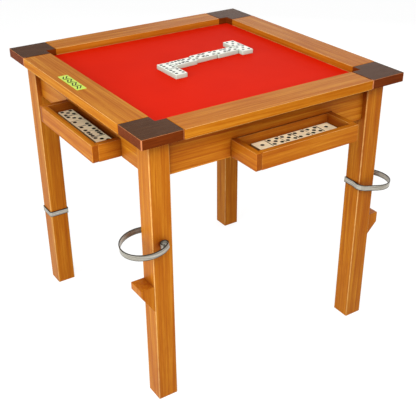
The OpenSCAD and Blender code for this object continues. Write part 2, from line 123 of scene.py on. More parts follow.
class BlockSettings(bpy.types.PropertyGroup):
    top: colour("Top", "Dark stained top of a corner block", shade(80, 43, 6))
    top_grain: colour("Top grain", "Fine grain on the dark top", shade(56, 29, 6))
    side: colour("Side", "Stained side of a corner block", shade(112, 47, 8))
    side_grain: colour("Side grain", "Fine grain on the dark side", shade(88, 33, 3))
    # Worn edges: rubbed through to the wood, made lighter still as a painted highlight along the edges
    worn_and_highlit: colour("Worn edges", "Edges rubbed through to the wood", shade(206, 130, 84))
    streak_width: length("Streak width", "Distance between the fine grain streaks", 0.0022)
    streak_length: length("Streak length", "Length of a fine grain streak", 0.05)
    edge_round: length("Eased edges", "Radius of a block's worn edges", 0.0021)


class FieldSettings(bpy.types.PropertyGroup):
    red: colour("Red", "The playing sheet", shade(220, 32, 4))
    red_shade: colour("Red shade", "Faint clouds in the sheet", shade(215, 29, 3))
    plate: colour("Plate", "The plate on the rail", shade(192, 217, 46))
    plate_pattern: colour("Plate pattern", "Zigzag lines on the plate", shade(33, 42, 19))
    pattern_stroke: length("Pattern stroke", "Width of the zigzag lines", 0.003)


class TileSettings(bpy.types.PropertyGroup):
    white: colour("White tile", "Tiles in play", shade(226, 225, 214))
    # Painted shade on the sides of the tiles in play, darker and greener than the top
    white_side_shade: colour("White tile's side", "Sides of the tiles in play", shade(178, 190, 176))
    cream: colour("Cream tile", "Tiles in the drawers", shade(255, 240, 203))
    # Painted shade on the sides of the drawer tiles, dark so the seams between them show
    cream_side_shade: colour("Cream tile's side", "Sides of the tiles in the drawers", shade(120, 86, 48))
    pip: colour("Pip", "Paint in the pips and the dividing line", shade(12, 12, 14))
    corner: length("Tile corner", "Corner radius seen from above", 0.003)
    edge: length("Tile edge", "Radius of the moulded edges", 0.0016)
    pip_share: FloatProperty(name="Pip width", description="Width of a pip as a share of the tile's width",
                             min=0.1, max=0.25, default=0.205)
    pip_depth: length("Pip depth", "Depth of a pip and of the dividing line", 0.0007)
    line_width: length("Dividing line", "Width of the line across the middle", 0.0023)


class SteelSettings(bpy.types.PropertyGroup):
    bright: colour("Steel", "Face of the spring steel", shade(216, 211, 200))
    dull: colour("Dull steel", "Scale left in the brushed lines", shade(124, 116, 102))
    # The dark edge colour is also laid as a painted shade where the strip lies close to other parts
    edge: colour("Steel edge", "Dark rolled edges of the strip", shade(44, 37, 28))
    zinc: colour("Zinc", "Bright spots on a plated screw", shade(206, 205, 200))
    zinc_dull: colour("Dull zinc", "Dull spots on a plated screw", shade(150, 148, 140))
    edge_round: length("Rolled edge", "Radius of the strip's edges", 0.0007)
    strip: length("Strip height", "Height of the steel strip", 0.016)


class StageSettings(bpy.types.PropertyGroup):
    camera_place: standing_place("Camera", "Where the camera stands", (-1.0616, -1.6832, 1.4030))
    camera_yaw: turn("Yaw", "Turn of the view from straight ahead to the right", 0.5757)
    camera_pitch: turn("Pitch", "How far the camera looks down", 0.5067)
    camera_roll: turn("Roll", "Tilt of the camera", -0.0068)
    focal: FloatProperty(name="Focal length", description="Focal length for a 36 mm wide sensor, in mm",
                         min=10.0, default=66.9)
    floor: colour("Floor", "The pale floor", (0.45, 0.45, 0.45))
    key_place: standing_place("Key light place", "Middle of the large lamp on the left", (-2.65, -0.4, 1.2))
    key: lamp_power("Key light", "Strength of the large lamp on the left", 62.0)
    key_tint: colour("Key light colour", "Tint of the large lamp", (0.85, 1.0, 1.0))
    fill_place: standing_place("Fill light place", "Middle of the lamp in front", (-1.2, -2.4, 2.2))
    fill: lamp_power("Fill light", "Strength of the lamp in front", 88.0)
    back_place: standing_place("Back light place", "Middle of the lamp behind", (1.9, 2.0, 1.4))
    back: lamp_power("Back light", "Strength of the lamp behind", 14.0)
    sky: FloatProperty(name="Sky", description="Strength of the light from all round", min=0.0, default=0.48)


# Shader building

class Tree:
    """Adds nodes to a node tree and links them, one call for each node."""

    def __init__(self, tree):
        self.tree = tree

    def link(self, source, target):
        self.tree.links.new(source, target)

    def feed(self, socket, value):
        """Links a socket to another, or gives it a plain value."""
        if isinstance(value, bpy.types.NodeSocket):
            self.link(value, socket)
        else:
            socket.default_value = value

    def add(self, kind, values=None, **settings):
        made = self.tree.nodes.new(kind)
        for key, value in settings.items():
            setattr(made, key, value)
        for key, value in (values or {}).items():
            self.feed(made.inputs[key], value)
        return made

    def coordinate(self, name):
        """A place on the surface, or its facing, in the object's own space."""
        return self.add("ShaderNodeTexCoord").outputs[name]

    def axes(self, vector):
        return self.add("ShaderNodeSeparateXYZ", {0: vector}).outputs

    def absolute(self, vector):
        return self.add("ShaderNodeVectorMath", {0: vector}, operation="ABSOLUTE").outputs[0]

    def noise(self, vector, scale, detail, roughness=0.5):
        return self.add("ShaderNodeTexNoise", {"Vector": vector, "Scale": scale, "Detail": detail,
                                               "Roughness": roughness}).outputs["Fac"]

    def maths(self, operation, first, second=0.0, third=0.0):
        made = self.add("ShaderNodeMath", operation=operation)
        for socket, value in zip(made.inputs, (first, second, third)):
            self.feed(socket, value)
        return made.outputs[0]

    def spread(self, value, low, high, to_low=0.0, to_high=1.0):
        """Maps a value from one range to another, held at both ends."""
        made = self.add("ShaderNodeMapRange", {"From Min": low, "From Max": high, "To Min": to_low,
                                               "To Max": to_high, "Value": value}, clamp=True)
        return made.outputs[0]

    def mix(self, share, first, second):
        """Two colours mixed; each is a socket or three plain values."""
        made = self.add("ShaderNodeMix", data_type="RGBA")
        sockets = {socket.identifier: socket for socket in made.inputs}
        self.feed(sockets["Factor_Float"], share)
        for name, value in (("A_Color", first), ("B_Color", second)):
            self.feed(sockets[name], value if isinstance(value, bpy.types.NodeSocket) else (*value, 1.0))
        return next(socket for socket in made.outputs if socket.identifier == "Result_Color")

    def cover(self, mask, strength, under, over):
        """One colour laid over another, where the mask is 1, as strongly as asked for."""
        return self.mix(self.maths("MULTIPLY", mask, strength), under, over)


def shader_group(name, inputs, outputs):
    """An empty node group with its sockets; inputs are (name, type, default), outputs are numbers."""
    group = bpy.data.node_groups.new(name, "ShaderNodeTree")
    for label, kind, default in inputs:
        socket = group.interface.new_socket(name=label, in_out="INPUT", socket_type=kind)
        socket.default_value = default
    for label in outputs:
        group.interface.new_socket(name=label, in_out="OUTPUT", socket_type="NodeSocketFloat")
    tree = Tree(group)
    return tree, tree.add("NodeGroupInput").outputs, tree.add("NodeGroupOutput").inputs


def sawn_wood_group():
    """Streaks, growth rings, pores and end grain of a board whose grain runs along the turned X axis."""
    tree, given, result = shader_group(
        "Sawn wood",
        [("Turn", "NodeSocketVector", (0.0, 0.0, 0.0)),
         ("Streak Width", "NodeSocketFloat", 0.006),
         ("Streak Length", "NodeSocketFloat", 0.24),
         ("Figure", "NodeSocketFloat", 0.5)],
        ["Tone", "Pores", "End", "Flank", "Height"])

    def turned(vector):
        return tree.add("ShaderNodeMapping", {"Vector": vector, "Rotation": given["Turn"]},
                        vector_type="TEXTURE").outputs[0]

    along, across, depth = tree.axes(turned(tree.coordinate("Object")))
    facing_along = tree.maths("ABSOLUTE", tree.axes(turned(tree.coordinate("Normal")))[0])

    def stretched(width_share, length_share):
        """The board's space, measured in shares of a streak's width and length."""
        long_unit = tree.maths("MULTIPLY", given["Streak Length"], length_share)
        wide_unit = tree.maths("MULTIPLY", given["Streak Width"], width_share)
        return tree.add("ShaderNodeCombineXYZ", {0: tree.maths("DIVIDE", along, long_unit),
                                                 1: tree.maths("DIVIDE", across, wide_unit),
                                                 2: tree.maths("DIVIDE", depth, wide_unit)}).outputs[0]

    streaks = tree.noise(stretched(1.0, 1.0), scale=1.0, detail=3.0, roughness=0.6)
    clouds = tree.noise(stretched(6.0, 0.9), scale=1.0, detail=2.0)
    fibre = tree.noise(stretched(0.13, 0.1), scale=1.0, detail=2.0, roughness=0.65)
    rings = tree.add("ShaderNodeTexWave", {"Vector": stretched(2.6, 2.2), "Scale": 0.35, "Distortion": 3.2,
                                           "Detail": 2.0, "Detail Scale": 1.1, "Detail Roughness": 0.55},
                     wave_type="BANDS", bands_direction="DIAGONAL", wave_profile="SAW").outputs["Fac"]
    figured = tree.maths("MULTIPLY", tree.maths("SUBTRACT", rings, 0.5), given["Figure"])
    streaked = tree.spread(streaks, 0.25, 0.75, 0.18, 0.82)
    tone = tree.maths("ADD", streaked, tree.maths("MULTIPLY", figured, 0.6))
    tone = tree.maths("ADD", tone, tree.spread(clouds, *NOISE_SPAN, -0.14, 0.14))
    tone = tree.maths("ADD", tone, tree.spread(fibre, *NOISE_SPAN, 0.12, -0.12))
    pores = tree.spread(fibre, 0.60, 0.74)
    tree.link(tone, result["Tone"])
    tree.link(pores, result["Pores"])
    tree.link(tree.spread(facing_along, 0.75, 0.92), result["End"])
    tree.link(tree.spread(facing_along, 0.35, 0.1), result["Flank"])
    tree.link(tree.maths("SUBTRACT", streaks, tree.maths("MULTIPLY", pores, 0.6)), result["Height"])


def eased_edge_group():
    """1 where a square-cut board turns over an edge, 0 on its flat sides, broken up by noise."""
    tree, given, result = shader_group("Eased edge", [("Breaks", "NodeSocketFloat", 0.4)], ["Edge"])
    x, y, z = tree.axes(tree.absolute(tree.coordinate("Normal")))
    squareness = tree.maths("MAXIMUM", tree.maths("MAXIMUM", x, y), z)
    turned_over = tree.spread(squareness, 0.995, 0.95)
    noise = tree.noise(tree.coordinate("Object"), scale=55.0, detail=3.0)
    gap = tree.maths("MULTIPLY", tree.spread(noise, 0.35, 0.65), given["Breaks"])
    tree.link(tree.maths("MULTIPLY", turned_over, tree.maths("SUBTRACT", 1.0, gap)), result["Edge"])


def painted_shade_group():
    """Painted shade: 1 in corners and under overhanging edges, 0 on open faces and near the floor."""
    tree, given, result = shader_group("Painted shade", [("Reach", "NodeSocketFloat", 0.05)], ["Painted shade"])
    openness = tree.add("ShaderNodeAmbientOcclusion", {"Distance": given["Reach"]}, samples=8).outputs["AO"]
    above_floor = tree.axes(tree.add("ShaderNodeNewGeometry").outputs["Position"])[2]
    hollow = tree.maths("MULTIPLY", tree.spread(openness, 0.9, 0.4), tree.spread(above_floor, 0.02, 0.12))
    tree.link(hollow, result["Painted shade"])


def strip_profile_group():
    """Masks for the dark edges and the two ridge lines of a rolled strip; its middle line climbs along X."""
    tree, given, result = shader_group(
        "Strip profile",
        [("Slope", "NodeSocketFloat", 0.0),
         ("Level", "NodeSocketFloat", 0.0),
         ("Strip Height", "NodeSocketFloat", 0.016)],
        ["Edge", "Ridge"])
    x, _, z = tree.axes(tree.coordinate("Object"))
    middle = tree.maths("MULTIPLY_ADD", x, given["Slope"], given["Level"])
    off_middle = tree.maths("ABSOLUTE", tree.maths("SUBTRACT", z, middle))
    off_middle = tree.maths("DIVIDE", off_middle, given["Strip Height"])
    from_ridge = tree.maths("ABSOLUTE", tree.maths("SUBTRACT", off_middle, 0.2))
    tree.link(tree.spread(off_middle, 0.32, 0.42, 0.0, 0.95), result["Edge"])
    tree.link(tree.spread(from_ridge, 0.0, 0.05, 1.0, 0.0), result["Ridge"])


def group_node(tree, name, values):
    """Places a shared group in a tree and returns its outputs."""
    return tree.add("ShaderNodeGroup", values, node_tree=bpy.data.node_groups[name]).outputs


def new_material(name):
    """Starts a material with one Principled shader; returns its tree and the shader's inputs."""
    material = bpy.data.materials.new(name)
    material.use_nodes = True
    material.node_tree.nodes.clear()
    tree = Tree(material.node_tree)
    surface = tree.add("ShaderNodeBsdfPrincipled")
    tree.add("ShaderNodeOutputMaterial", {"Surface": surface.outputs[0]})
    return tree, surface.inputs


def bump(tree, height, strength, distance):
    made = tree.add("ShaderNodeBump", {"Height": height, "Strength": strength, "Distance": distance})
    return made.outputs[0]


def board_grain(tree, axis, figure, settings):
    """The sawn wood pattern with its grain along an axis."""
    return group_node(tree, "Sawn wood", {"Turn": GRAIN_TURN[axis], "Figure": figure,
                                          "Streak Width": settings.streak_width,
                                          "Streak Length": settings.streak_length})


def varnished_wood(name, axis, figure=0.35, wear_and_highlight=0.8, ends=0.75, hollows=0.85, lift=0.0, ior=1.18):
    """Orange-brown varnished wood with the grain along one axis.

    wear_and_highlight, ends and hollows say how strongly edges take their worn colour with a painted
    highlight, end grain its own colour, and corners a painted shade.
    """
    wood = bpy.context.scene.table_wood
    tree, surface = new_material(name)
    board = board_grain(tree, axis, figure, wood)
    tone = tree.maths("ADD", board["Tone"], lift)
    lower = tree.mix(tree.spread(tone, 0.0, 0.5), wood.dark, wood.middle)
    tinted = tree.mix(tree.spread(tone, 0.5, 1.05), lower, wood.light)
    pored = tree.cover(board["Pores"], 0.35, tinted, wood.dark)
    ended = tree.cover(board["End"], ends, pored, wood.end_grain)
    edge = group_node(tree, "Eased edge", {"Breaks": 0.45})["Edge"]
    # Edges take the worn colour, which also paints a highlight along them
    worn_and_highlit = tree.cover(tree.maths("MULTIPLY", edge, board["Flank"]), wear_and_highlight, ended, wood.worn_and_highlit)
    # Painted shade in corners, under the rails and inside the drawers, laid over the wood colour
    hollow = group_node(tree, "Painted shade", {"Reach": wood.painted_shade_reach})["Painted shade"]
    tree.link(tree.cover(hollow, hollows, worn_and_highlit, wood.hollow), surface["Base Color"])
    tree.link(tree.spread(board["Tone"], 0.0, 1.0, 0.46, 0.36), surface["Roughness"])
    surface["IOR"].default_value = ior
    tree.link(bump(tree, board["Height"], strength=0.35, distance=0.0004), surface["Normal"])


def bare_wood(name, axis):
    """Pale unstained wood for the parts under the top."""
    wood = bpy.context.scene.table_wood
    tree, surface = new_material(name)
    board = board_grain(tree, axis, figure=0.7, settings=wood)
    tinted = tree.mix(tree.spread(board["Tone"], 0.1, 0.9), wood.inside_dark, wood.inside)
    pored = tree.cover(board["Pores"], 0.5, tinted, wood.inside_dark)
    tree.link(tree.cover(board["End"], 0.5, pored, wood.inside_dark), surface["Base Color"])
    tree.link(tree.spread(board["Tone"], 0.0, 1.0, 0.72, 0.62), surface["Roughness"])
    tree.link(bump(tree, board["Height"], strength=0.5, distance=0.0005), surface["Normal"])


def stained_block():
    """Dark corner block: brown top, redder sides, outer edges lightened as rubbed through to the wood and as
    a painted highlight.
    """
    block = bpy.context.scene.table_blocks
    tree, surface = new_material("Dark corner block")
    board = board_grain(tree, "x", figure=0.35, settings=block)
    grain = tree.spread(board["Tone"], 0.1, 0.9)
    top = tree.mix(grain, block.top_grain, block.top)
    side = tree.mix(grain, block.side_grain, block.side)
    upward = tree.axes(tree.coordinate("Normal"))[2]
    body = tree.mix(tree.spread(upward, 0.6, 0.9), side, top)
    x, y, _ = tree.axes(tree.absolute(tree.coordinate("Object")))
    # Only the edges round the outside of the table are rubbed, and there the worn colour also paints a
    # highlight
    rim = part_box("rail_right")[1].x - 4 * block.edge_round
    outer = tree.spread(tree.maths("MAXIMUM", x, y), rim, rim + block.edge_round)
    edge = group_node(tree, "Eased edge", {"Breaks": 0.25})["Edge"]
    tree.link(tree.cover(tree.maths("MULTIPLY", edge, outer), 0.85, body, block.worn_and_highlit), surface["Base Color"])
    tree.link(tree.spread(board["Tone"], 0.0, 1.0, 0.5, 0.4), surface["Roughness"])
    surface["Specular IOR Level"].default_value = 0.04
    tree.link(bump(tree, board["Height"], strength=0.5, distance=0.0004), surface["Normal"])


def red_laminate():
    """Smooth red sheet with faint clouds and a very fine hammered grain."""
    field = bpy.context.scene.table_field
    tree, surface = new_material("Red playing sheet")
    place = tree.coordinate("Object")
    clouds = tree.noise(place, scale=7.0, detail=3.0)
    grain = tree.noise(place, scale=1400.0, detail=2.0)
    tree.link(tree.mix(tree.spread(clouds, *NOISE_SPAN), field.red_shade, field.red), surface["Base Color"])
    tree.link(tree.spread(grain, *NOISE_SPAN, 0.60, 0.70), surface["Roughness"])
    surface["Specular IOR Level"].default_value = 0.02
    tree.link(bump(tree, grain, strength=0.15, distance=0.0001), surface["Normal"])


def enamel(name, base, roughness, shine=0.5):
    """Smooth paint or lacquer with a faint unevenness."""
    tree, surface = new_material(name)
    noise = tree.noise(tree.coordinate("Object"), scale=160.0, detail=3.0)
    shading = 0.88
    darker = tuple(shading * value for value in base)
    tree.link(tree.mix(tree.spread(noise, *NOISE_SPAN), darker, base), surface["Base Color"])
    tree.link(tree.spread(noise, *NOISE_SPAN, roughness, roughness + 0.1), surface["Roughness"])
    surface["Specular IOR Level"].default_value = shine
    tree.link(bump(tree, noise, strength=0.1, distance=0.0002), surface["Normal"])


def tile_resin(name, base, side):
    """Moulded tile: faint warm clouds under a polished skin, with a painted shade on the sides."""
    tree, surface = new_material(name)
    clouds = tree.noise(tree.coordinate("Object"), scale=38.0, detail=4.0)
    warmth = (0.92, 0.88, 0.78)
    warm = tuple(value * share for value, share in zip(base, warmth))
    clouded = tree.mix(tree.spread(clouds, 0.35, 0.75, 0.0, 0.25), base, warm)
    upward = tree.axes(tree.coordinate("Normal"))[2]
    # The sides take the painted shade colour, the top its own
    tree.link(tree.mix(tree.spread(upward, 0.6, 0.97), side, clouded), surface["Base Color"])
    tree.link(tree.spread(clouds, *NOISE_SPAN, 0.30, 0.40), surface["Roughness"])
    tree.link(bump(tree, clouds, strength=0.05, distance=0.0003), surface["Normal"])


def spring_steel(name, slope, level):
    """Brushed strip with lines round the loop, dark rolled edges and a painted shade where it lies close to
    other parts; its middle is at slope * x + level.
    """
    steel = bpy.context.scene.table_steel
    tree, surface = new_material(name)
    place = tree.coordinate("Object")
    line_scale = (14.0, 14.0, 900.0)
    drawn_out = tree.add("ShaderNodeVectorMath", {0: place, 1: line_scale}, operation="MULTIPLY").outputs[0]
    brushed = tree.noise(drawn_out, scale=1.0, detail=3.0)
    stains = tree.noise(place, scale=45.0, detail=3.0)
    profile = group_node(tree, "Strip profile", {"Slope": slope, "Level": level,
                                                 "Strip Height": steel.strip})
    # Painted shade where the strip lies close to the wood, laid in the dark edge colour
    hollow = group_node(tree, "Painted shade", {"Reach": 0.012})["Painted shade"]
    rim = tree.spread(tree.maths("ABSOLUTE", tree.axes(tree.coordinate("Normal"))[2]), 0.2, 0.7)
    edge = tree.maths("MAXIMUM", rim, profile["Edge"])
    edge = tree.maths("MAXIMUM", edge, tree.maths("MULTIPLY", hollow, 0.95))
    face = tree.mix(tree.spread(brushed, *NOISE_SPAN), steel.dull, steel.bright)
    face = tree.cover(profile["Ridge"], 0.6, face, steel.dull)
    face = tree.mix(tree.spread(stains, 0.5, 0.8, 0.0, 0.35), face, steel.dull)
    tree.link(tree.mix(edge, face, steel.edge), surface["Base Color"])
    tree.link(tree.maths("SUBTRACT", 1.0, tree.maths("MULTIPLY", edge, 0.7)), surface["Metallic"])
    surface["Specular IOR Level"].default_value = 0.2
    tree.link(tree.spread(brushed, *NOISE_SPAN, 0.34, 0.44), surface["Roughness"])
    tree.link(bump(tree, brushed, strength=0.25, distance=0.0001), surface["Normal"])


def plated_screw():
    """Zinc plating with dull and bright spots."""
    steel = bpy.context.scene.table_steel
    tree, surface = new_material("Zinc plated screw")
    noise = tree.noise(tree.coordinate("Object"), scale=260.0, detail=3.0)
    tree.link(tree.mix(noise, steel.zinc_dull, steel.zinc), surface["Base Color"])
    surface["Metallic"].default_value = 1.0
    tree.link(tree.spread(noise, *NOISE_SPAN, 0.3, 0.45), surface["Roughness"])


# Meshes

def dress(node, material_name):
    """Gives a CAD node one material."""
    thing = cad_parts[node]
    thing.data.materials.clear()
    thing.data.materials.append(bpy.data.materials[material_name])
    return thing


def ease_edges(thing, radius, clamped=True):
    """Sands the sharp edges of a CAD node, as a modifier, so its own mesh stays as imported."""
    weld = thing.modifiers.new("Joined seams", "WELD")
    weld.merge_threshold = SAME_CORNER
    bevel = thing.modifiers.new("Eased edges", "BEVEL")
    bevel.width = radius
    bevel.segments = 2
    bevel.limit_method = "ANGLE"
    bevel.angle_limit = math.radians(40)
    bevel.use_clamp_overlap = clamped
    bevel.miter_outer = "MITER_ARC"


def mesh_object(name, build, material_names):
    """A new mesh object; build fills a bmesh."""
    work = bmesh.new()
    build(work)
    mesh = bpy.data.meshes.new(name)
    work.to_mesh(mesh)
    work.free()
    for material_name in material_names:
        mesh.materials.append(bpy.data.materials[material_name])
    made = bpy.data.objects.new(name, mesh)
    bpy.context.scene.collection.objects.link(made)
    return made


def rounded_outline(long_side, short_side, radius, steps):
    """Corner points of a rounded rectangle about 0, 0, anticlockwise."""
    points = []
    for quarter, (sx, sy) in enumerate(((1, 1), (-1, 1), (-1, -1), (1, -1))):
        centre = (sx * (long_side / 2 - radius), sy * (short_side / 2 - radius))
        for step in range(steps + 1):
            angle = (quarter + step / steps) * math.pi / 2
            points.append((centre[0] + radius * math.cos(angle), centre[1] + radius * math.sin(angle)))
    return points


def rounded_slab(work, long_side, short_side, height, radius, edge, place, steps=6, rim_steps=3):
    """A slab with rounded corners and rounded top and bottom edges, its underside at height 0 of place."""
    corner_shrink = 0.8
    levels = []
    for step in range(rim_steps + 1):
        angle = step / rim_steps * math.pi / 2
        levels.append((edge * (1 - math.sin(angle)), edge * (1 - math.cos(angle))))
    levels += [(inset, height - rise) for inset, rise in reversed(levels)]
    loops = []
    for inset, rise in levels:
        outline = rounded_outline(long_side - 2 * inset, short_side - 2 * inset,
                                  radius - inset * corner_shrink, steps)
        loops.append([work.verts.new(place @ Vector((x, y, rise))) for x, y in outline])
    for low, high in zip(loops, loops[1:]):
        for i in range(len(low)):
            j = (i + 1) % len(low)
            work.faces.new((low[i], low[j], high[j], high[i]))
    work.faces.new(list(reversed(loops[0])))
    work.faces.new(loops[-1])


def box_into(work, low, high, place, material_index=0):
    """A box between two corners, each seen in place's own directions."""
    corners = [Vector((x, y, z)) for z in (low[2], high[2])
               for y in (low[1], high[1]) for x in (low[0], high[0])]
    verts = [work.verts.new(place @ corner) for corner in corners]
    for face in ((0, 2, 3, 1), (4, 5, 7, 6), (0, 1, 5, 4), (2, 6, 7, 3), (0, 4, 6, 2), (1, 3, 7, 5)):
        work.faces.new([verts[i] for i in face]).material_index = material_index


def lens_into(work, width, depth, place, material_index, steps=14, rings=4):
    """A closed lens whose lower half is the hollow of a pip; its middle lies at place's origin."""
    def circle(radius, rise):
        angles = [2 * math.pi * i / steps for i in range(steps)]
        return [work.verts.new(place @ Vector((radius * math.cos(a), radius * math.sin(a), rise)))
                for a in angles]

    bowl = (width * width / 4 + depth * depth) / (2 * depth)
    rim = math.asin(width / 2 / bowl)
    tilts = [rim * (1 - ring / rings) for ring in range(rings)]
    lower = [circle(bowl * math.sin(tilt), bowl * (math.cos(rim) - math.cos(tilt))) for tilt in tilts]
    tip = work.verts.new(place @ Vector((0, 0, -depth)))
    lid = circle(width / 2, depth)
    made = []
    for upper, under in zip([lid] + lower, lower):
        for i in range(steps):
            j = (i + 1) % steps
            made.append(work.faces.new((upper[i], under[i], under[j], upper[j])))
    for i in range(steps):
        made.append(work.faces.new((lower[-1][i], tip, lower[-1][(i + 1) % steps])))
    made.append(work.faces.new(lid))
    for face in made:
        face.material_index = material_index


# Steps from the middle of a tile's half to each pip
PIP_PLACES = {
    0: (),
    1: ((0, 0),),
    2: ((-1, -1), (1, 1)),
    3: ((-1, -1), (0, 0), (1, 1)),
    4: ((-1, -1), (-1, 1), (1, -1), (1, 1)),
    5: ((-1, -1), (-1, 1), (0, 0), (1, -1), (1, 1)),
    6: ((-1, -1), (0, -1), (1, -1), (-1, 1), (0, 1), (1, 1)),
}

# Shares of a tile's length: from its middle to the middle of a half, and one pip step
HALF_SHARE = 0.25
LONG_STEP_SHARE = 0.145

# Shares of a tile's width: one pip step, and the dividing line's length
SHORT_STEP_SHARE = 0.27
LINE_SHARE = 0.84

# How far the cutter of the dividing line stands above the tile
CUTTER_RISE = 0.001


def loose_pieces(work):
    """The corners of each unconnected piece of a bmesh."""
    seen = set()
    for first in work.verts:
        if first in seen:
            continue
        seen.add(first)
        reached, corners = [first], []
        while reached:
            vert = reached.pop()
            corners.append(vert.co.copy())
            for edge in vert.link_edges:
                other = edge.other_vert(vert)
                if other not in seen:
                    seen.add(other)
                    reached.append(other)
        yield corners


def lying_tile(corners, forward):
    """Place, long side, short side and height of the tile with these corners.

    In its place a tile has its long side along X, turned towards forward, and its underside at height 0.
    """
    low = Vector(min(c[i] for c in corners) for i in range(3))
    high = Vector(max(c[i] for c in corners) for i in range(3))
    centre = (low + high) / 2
    spread_x = sum((c.x - centre.x) ** 2 for c in corners)
    spread_y = sum((c.y - centre.y) ** 2 for c in corners)
    skewed = sum((c.x - centre.x) * (c.y - centre.y) for c in corners)
    angle = 0.5 * math.atan2(2 * skewed, spread_x - spread_y)
    heading = Vector((math.cos(angle), math.sin(angle), 0))
    if heading.dot(forward) < 0:
        angle += math.pi
    place = Matrix.Translation((centre.x, centre.y, low.z)) @ Matrix.Rotation(angle, 4, "Z")
    own = [place.inverted() @ c for c in corners]
    return place, 2 * max(c.x for c in own), 2 * max(c.y for c in own), high.z - low.z


def lying_tiles(node, forward):
    """The tiles of a CAD node, from first to last along forward."""
    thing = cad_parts[node]
    work = bmesh.new()
    work.from_mesh(thing.data)
    work.transform(thing.matrix_world)
    bmesh.ops.remove_doubles(work, verts=work.verts[:], dist=SAME_CORNER)
    tiles = [lying_tile(corners, forward) for corners in loose_pieces(work)]
    work.free()
    return sorted(tiles, key=lambda tile: tile[0].translation.dot(forward))


def cut_away(made, cutter):
    """Takes the cutter's shape out of an object's mesh, then drops the cutter."""
    cut = made.modifiers.new("Pips", "BOOLEAN")
    cut.operation = "DIFFERENCE"
    cut.solver = "EXACT"
    cut.object = cutter
    bpy.context.view_layer.update()
    drilled = bpy.data.meshes.new_from_object(made.evaluated_get(bpy.context.evaluated_depsgraph_get()))
    made.modifiers.clear()
    made.data = drilled
    bpy.data.objects.remove(cutter)


def domino_tiles(name, node, body, forward, numbers, resin, mark=1.0):
    """Tiles with hollow pips that replace one CAD node; numbers holds the two halves of each tile.

    mark widens the pips and the dividing line.
    """
    sizes = bpy.context.scene.table_tiles
    tiles = lying_tiles(node, forward)

    def slabs(work):
        for place, long_side, short_side, height in tiles:
            rounded_slab(work, long_side, short_side, height, sizes.corner, sizes.edge, place)

    def hollows(work):
        for (place, long_side, short_side, height), halves in zip(tiles, numbers):
            top = place @ Matrix.Translation((0, 0, height))
            line_x, line_y = mark * sizes.line_width / 2, short_side * LINE_SHARE / 2
            box_into(work, (-line_x, -line_y, -sizes.pip_depth), (line_x, line_y, CUTTER_RISE), top, 1)
            for number, half in zip(halves, (-1, 1)):
                for x, y in PIP_PLACES[number]:
                    spot = ((half * HALF_SHARE + x * LONG_STEP_SHARE) * long_side,
                            y * SHORT_STEP_SHARE * short_side, 0)
                    lens_into(work, mark * sizes.pip_share * short_side, sizes.pip_depth,
                              top @ Matrix.Translation(spot), 1)

    made = mesh_object(name, slabs, [resin, "Pip paint"])
    cut_away(made, mesh_object(name + "_cutter", hollows, [resin, "Pip paint"]))
    made.data.shade_smooth()
    made.data.set_sharp_from_angle(angle=math.radians(35))
    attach(made, body)
    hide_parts(node)


# Rows of the plate's zigzag, as shares of half its width: the row's middle and its teeth's half height
ZIGZAG_ROWS = ((-0.36, 0.26), (0.30, 0.34))
ZIGZAG_TEETH = 7

# Share of the plate's length that the zigzag takes
ZIGZAG_SHARE = 0.84

# How far the zigzag's bars stand above the plate, and reach into it
BAR_PROUD = 0.00012
BAR_SUNK = 0.0001


def zigzag_into(work, half_x, half_y, stroke, place):
    """Rows of zigzag lines over a plate with these half sides, each stroke a very thin bar."""
    half = stroke / 2
    for row, rise in ZIGZAG_ROWS:
        tips = [Vector((half_x * (row + (rise if i % 2 else -rise)),
                        half_y * ZIGZAG_SHARE * (2 * i / ZIGZAG_TEETH - 1), 0))
                for i in range(ZIGZAG_TEETH + 1)]
        for start, end in zip(tips, tips[1:]):
            run = end - start
            along = place @ Matrix.Translation(start) @ Matrix.Rotation(math.atan2(run.y, run.x), 4, "Z")
            box_into(work, (-half, -half, -BAR_SUNK), (run.length + half, half, BAR_PROUD), along)


# Operators

class TABLE_OT_finishes(bpy.types.Operator):
    """Make the shared shader groups and every material but the steel"""
    bl_idname = "table.finishes"
    bl_label = "Make finishes"

    def execute(self, context):
        sawn_wood_group()
        eased_edge_group()
        painted_shade_group()
        strip_profile_group()
        tiles = context.scene.table_tiles
        field = context.scene.table_field
        for axis in GRAIN_TURN:
            bare_wood("Bare wood along " + axis, axis)
        for axis in ("x", "y"):
            varnished_wood("Varnished wood along " + axis, axis, hollows=0.4, lift=0.14, ior=1.1)
            varnished_wood("Figured wood along " + axis, axis, figure=0.65, wear_and_highlight=0.5)
            varnished_wood("Drawer wood along " + axis, axis, hollows=0.75)
        varnished_wood("Leg wood", "z", wear_and_highlight=0.5)
        varnished_wood("Bracket wood", "z", wear_and_highlight=0.5, ends=0.1)
        stained_block()
        red_laminate()
        enamel("Yellow plate", tuple(field.plate), roughness=0.35)
        enamel("Plate pattern", tuple(field.plate_pattern), roughness=0.5, shine=0.1)
        enamel("Pip paint", tuple(tiles.pip), roughness=0.5, shine=0.1)
        tile_resin("White tile", tuple(tiles.white), tuple(tiles.white_side_shade))
        tile_resin("Cream tile", tuple(tiles.cream), tuple(tiles.cream_side_shade))
        plated_screw()
        return {"FINISHED"}


def side_axis(side, crosswise=False):
    """x or y: the direction in which a board on that side runs."""
    runs_x = side in ("front", "back")
    return "x" if runs_x != crosswise else "y"


